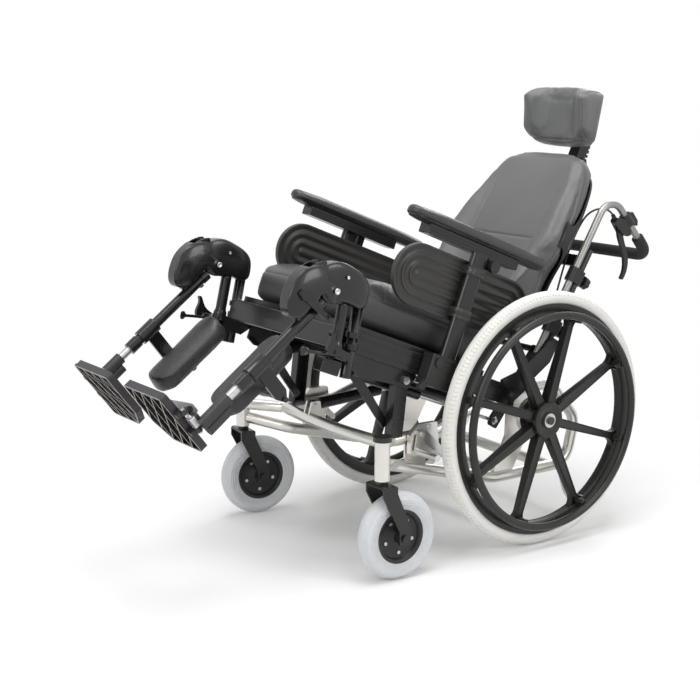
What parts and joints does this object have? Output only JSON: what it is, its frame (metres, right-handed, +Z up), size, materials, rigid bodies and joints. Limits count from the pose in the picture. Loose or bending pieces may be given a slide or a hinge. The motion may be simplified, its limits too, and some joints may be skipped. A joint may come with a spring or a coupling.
{
  "type": "tilt in space wheelchair",
  "caption": "Tilt in space wheelchair with reclining back, headrest, adjustable armrests, elevating leg rests, mag rear wheels and swivel casters.",
  "frame": {"origin": "on the floor under the middle of the chair's overall length and width", "axes": "+X to the occupant's left, -Y the way the chair faces, +Z up"},
  "size_m": [0.689, 1.4139, 1.081],
  "materials": {
    "frame_silver": "satin champagne anodised and lacquered tube",
    "steel_zinc": "bright zinc plated steel",
    "black_metal": "black satin powder coat",
    "black_plastic": "black moulded plastic",
    "vinyl": "dark grey coated upholstery cloth",
    "tyre_grey": "off-white solid tyre",
    "caster_tyre": "light grey caster tyre and black centre",
    "foam": "black foam",
    "cable": "black cable housing"
  },
  "bodies": {
    "chassis": {"cross_members": "frame_silver", "side_frame_left": "frame_silver", "side_frame_right": "frame_silver", "tilt_posts": "black_metal", "axle_sets": "steel_zinc", "wheel_lock_plates": "frame_silver", "anti_tippers": "frame_silver"},
    "seat": {"seat_rails": "black_metal", "seat_pan": "black_metal", "seat_cushion": "vinyl", "arm_sockets": "black_plastic", "hanger_brackets": "black_metal", "seat_stays": "black_metal", "tilt_bolts": "steel_zinc"},
    "tilt_barrel": {"tilt_cylinder": "black_metal"},
    "tilt_piston": {"tilt_rod": "steel_zinc"},
    "recline_barrel": {"recline_cylinder": "black_metal"},
    "recline_piston": {"recline_rod": "steel_zinc"},
    "back": {"back_frame": "black_metal", "back_shell": "black_plastic", "back_cushion": "vinyl", "cane_clamps": "black_plastic"},
    "push": {"push_bar": "frame_silver", "push_grip": "foam", "lever_housings": "black_plastic", "control_cables": "cable"},
    "head_mount": {"headrest_bar": "black_metal"},
    "headrest": {"headrest_pad": "vinyl"},
    "rear_wheel_left": {"rear_wheel_left": "black_plastic", "rear_tyre_left": "tyre_grey"},
    "caster_fork_left": {"caster_fork_left": "black_metal"},
    "caster_wheel_left": {"caster_wheel_left": "caster_tyre"},
    "wheel_lock_left": {"wheel_lock_lever_left": "steel_zinc"},
    "arm_left": {"arm_post_left": "black_metal", "side_panel_left": "black_plastic", "arm_pad_left": "vinyl"},
    "hanger_left": {"hanger_left": "black_metal"},
    "latch_left": {"latch_lever_left": "black_plastic"},
    "leg_left": {"leg_tube_left": "frame_silver"},
    "elevating_lever_left": {"elevating_lever_left": "black_plastic"},
    "calf_pad_left": {"calf_pad_left": "vinyl"},
    "foot_tube_left": {"foot_tube_left": "steel_zinc"},
    "footplate_left": {"footplate_left": "black_plastic"},
    "brake_lever_left": {"brake_lever_left": "black_plastic"},
    "rear_wheel_right": {"rear_wheel_right": "black_plastic", "rear_tyre_right": "tyre_grey"},
    "caster_fork_right": {"caster_fork_right": "black_metal"},
    "caster_wheel_right": {"caster_wheel_right": "caster_tyre"},
    "wheel_lock_right": {"wheel_lock_lever_right": "steel_zinc"},
    "arm_right": {"arm_post_right": "black_metal", "side_panel_right": "black_plastic", "arm_pad_right": "vinyl"},
    "hanger_right": {"hanger_right": "black_metal"},
    "latch_right": {"latch_lever_right": "black_plastic"},
    "leg_right": {"leg_tube_right": "frame_silver"},
    "elevating_lever_right": {"elevating_lever_right": "black_plastic"},
    "calf_pad_right": {"calf_pad_right": "vinyl"},
    "foot_tube_right": {"foot_tube_right": "steel_zinc"},
    "footplate_right": {"footplate_right": "black_plastic"},
    "brake_lever_right": {"brake_lever_right": "black_plastic"}
  },
  "joints": [
    {"name": "rear_wheel_spin_left", "type": "hinge", "parent": "chassis", "child": "rear_wheel_left", "pos_m": [0.294, 0.2584, 0.305], "axis": [1, 0, 0], "continuous": true},
    {"name": "caster_swivel_left", "type": "hinge", "parent": "chassis", "child": "caster_fork_left", "pos_m": [0.293, -0.2146, 0.232], "axis": [0, 0, 1], "continuous": true},
    {"name": "caster_wheel_spin_left", "type": "hinge", "parent": "caster_fork_left", "child": "caster_wheel_left", "pos_m": [0.29335, -0.174, 0.1], "axis": [1, -0.0087, 0], "continuous": true},
    {"name": "wheel_lock_left", "type": "hinge", "parent": "chassis", "child": "wheel_lock_left", "pos_m": [0.228, -0.0596, 0.3], "axis": [1, 0, 0], "range_deg": [0, 28]},
    {"name": "rear_wheel_spin_right", "type": "hinge", "parent": "chassis", "child": "rear_wheel_right", "pos_m": [-0.294, 0.2584, 0.305], "axis": [1, 0, 0], "continuous": true},
    {"name": "caster_swivel_right", "type": "hinge", "parent": "chassis", "child": "caster_fork_right", "pos_m": [-0.293, -0.2146, 0.232], "axis": [0, 0, 1], "continuous": true},
    {"name": "caster_wheel_spin_right", "type": "hinge", "parent": "caster_fork_right", "child": "caster_wheel_right", "pos_m": [-0.28777, -0.17434, 0.1], "axis": [0.9917, -0.1288, 0], "continuous": true},
    {"name": "wheel_lock_right", "type": "hinge", "parent": "chassis", "child": "wheel_lock_right", "pos_m": [-0.228, -0.0596, 0.3], "axis": [1, 0, 0], "range_deg": [0, 28]},
    {"name": "seat_tilt", "type": "hinge", "parent": "chassis", "child": "seat", "pos_m": [0, -0.0996, 0.428], "axis": [-1, 0, 0], "range_deg": [-21.5, 3]},
    {"name": "tilt_strut_swing", "type": "hinge", "parent": "chassis", "child": "tilt_barrel", "pos_m": [-0.08, -0.1446, 0.318], "axis": [-1, 0, 0], "range_deg": [-20, 8]},
    {"name": "tilt_strut_stroke", "type": "slide", "parent": "tilt_barrel", "child": "tilt_piston", "axis": [0, 0.9981, 0.0624], "range_m": [-0.012, 0.045]},
    {"name": "back_recline", "type": "hinge", "parent": "seat", "child": "back", "pos_m": [0, 0.25621, 0.38995], "axis": [-1, 0, 0], "range_deg": [-8, 15]},
    {"name": "recline_strut_swing", "type": "hinge", "parent": "seat", "child": "recline_barrel", "pos_m": [0.162, -0.21745, 0.45078], "axis": [-1, 0, 0], "range_deg": [-8, 8]},
    {"name": "recline_strut_stroke", "type": "slide", "parent": "recline_barrel", "child": "recline_piston", "axis": [0, 0.9304, -0.3665], "range_m": [-0.056, 0.02]},
    {"name": "push_bar_height", "type": "slide", "parent": "back", "child": "push", "axis": [0, 0.515, 0.8572], "range_m": [0, 0.06]},
    {"name": "brake_lever_left", "type": "hinge", "parent": "push", "child": "brake_lever_left", "pos_m": [0.2, 0.58518, 0.72703], "axis": [1, 0, 0], "range_deg": [0, 10]},
    {"name": "brake_lever_right", "type": "hinge", "parent": "push", "child": "brake_lever_right", "pos_m": [-0.2, 0.58518, 0.72703], "axis": [1, 0, 0], "range_deg": [0, 10]},
    {"name": "headrest_height", "type": "slide", "parent": "back", "child": "head_mount", "axis": [0, 0.515, 0.8572], "range_m": [0, 0.06]},
    {"name": "headrest_tilt", "type": "hinge", "parent": "head_mount", "child": "headrest", "pos_m": [0, 0.61072, 0.96441], "axis": [-1, 0, 0], "range_deg": [-12, 20]},
    {"name": "arm_height_left", "type": "slide", "parent": "seat", "child": "arm_left", "axis": [0, 0.3665, 0.9304], "range_m": [0, 0.06]},
    {"name": "hanger_swing_left", "type": "hinge", "parent": "seat", "child": "hanger_left", "pos_m": [0.244, -0.27359, 0.49654], "axis": [0, 0.2164, 0.9763], "range_deg": [0, 85]},
    {"name": "latch_lever_left", "type": "hinge", "parent": "hanger_left", "child": "latch_left", "pos_m": [0.279, -0.33608, 0.52883], "axis": [-1, 0, 0], "range_deg": [0, 20]},
    {"name": "leg_elevation_left", "type": "hinge", "parent": "hanger_left", "child": "leg_left", "pos_m": [0.244, -0.32307, 0.65468], "axis": [-1, 0, 0], "range_deg": [-18, 50]},
    {"name": "elevating_lever_left", "type": "hinge", "parent": "leg_left", "child": "elevating_lever_left", "pos_m": [0.27, -0.34725, 0.60279], "axis": [-1, 0, 0], "range_deg": [0, 20]},
    {"name": "calf_pad_tilt_left", "type": "hinge", "parent": "leg_left", "child": "calf_pad_left", "pos_m": [0.198, -0.43652, 0.43279], "axis": [1, 0, 0], "range_deg": [-15, 15]},
    {"name": "foot_length_left", "type": "slide", "parent": "leg_left", "child": "foot_tube_left", "axis": [0, -0.788, -0.6157], "range_m": [0, 0.08]},
    {"name": "footplate_flip_left", "type": "hinge", "parent": "foot_tube_left", "child": "footplate_left", "pos_m": [0.2205, -0.64064, 0.40656], "axis": [0, 0.6157, -0.788], "range_deg": [0, 18]},
    {"name": "arm_height_right", "type": "slide", "parent": "seat", "child": "arm_right", "axis": [0, 0.3665, 0.9304], "range_m": [0, 0.06]},
    {"name": "hanger_swing_right", "type": "hinge", "parent": "seat", "child": "hanger_right", "pos_m": [-0.244, -0.27359, 0.49654], "axis": [0, -0.2164, -0.9763], "range_deg": [0, 85]},
    {"name": "latch_lever_right", "type": "hinge", "parent": "hanger_right", "child": "latch_right", "pos_m": [-0.279, -0.33608, 0.52883], "axis": [-1, 0, 0], "range_deg": [0, 20]},
    {"name": "leg_elevation_right", "type": "hinge", "parent": "hanger_right", "child": "leg_right", "pos_m": [-0.244, -0.32307, 0.65468], "axis": [-1, 0, 0], "range_deg": [-18, 50]},
    {"name": "elevating_lever_right", "type": "hinge", "parent": "leg_right", "child": "elevating_lever_right", "pos_m": [-0.27, -0.34725, 0.60279], "axis": [-1, 0, 0], "range_deg": [0, 20]},
    {"name": "calf_pad_tilt_right", "type": "hinge", "parent": "leg_right", "child": "calf_pad_right", "pos_m": [-0.198, -0.43652, 0.43279], "axis": [1, 0, 0], "range_deg": [-15, 15]},
    {"name": "foot_length_right", "type": "slide", "parent": "leg_right", "child": "foot_tube_right", "axis": [0, -0.788, -0.6157], "range_m": [0, 0.08]},
    {"name": "footplate_flip_right", "type": "hinge", "parent": "foot_tube_right", "child": "footplate_right", "pos_m": [-0.2205, -0.64064, 0.40656], "axis": [0, -0.6157, 0.788], "range_deg": [0, 18]}
  ],
  "couplings": [
    {"joint": "tilt_strut_swing", "follows": "seat_tilt", "ratio": 0.77821},
    {"joint": "tilt_strut_stroke", "follows": "seat_tilt", "m_per_rad": -0.099574},
    {"joint": "recline_strut_swing", "follows": "back_recline", "ratio": -0.0158},
    {"joint": "recline_strut_stroke", "follows": "back_recline", "m_per_rad": -0.11594}
  ]
}
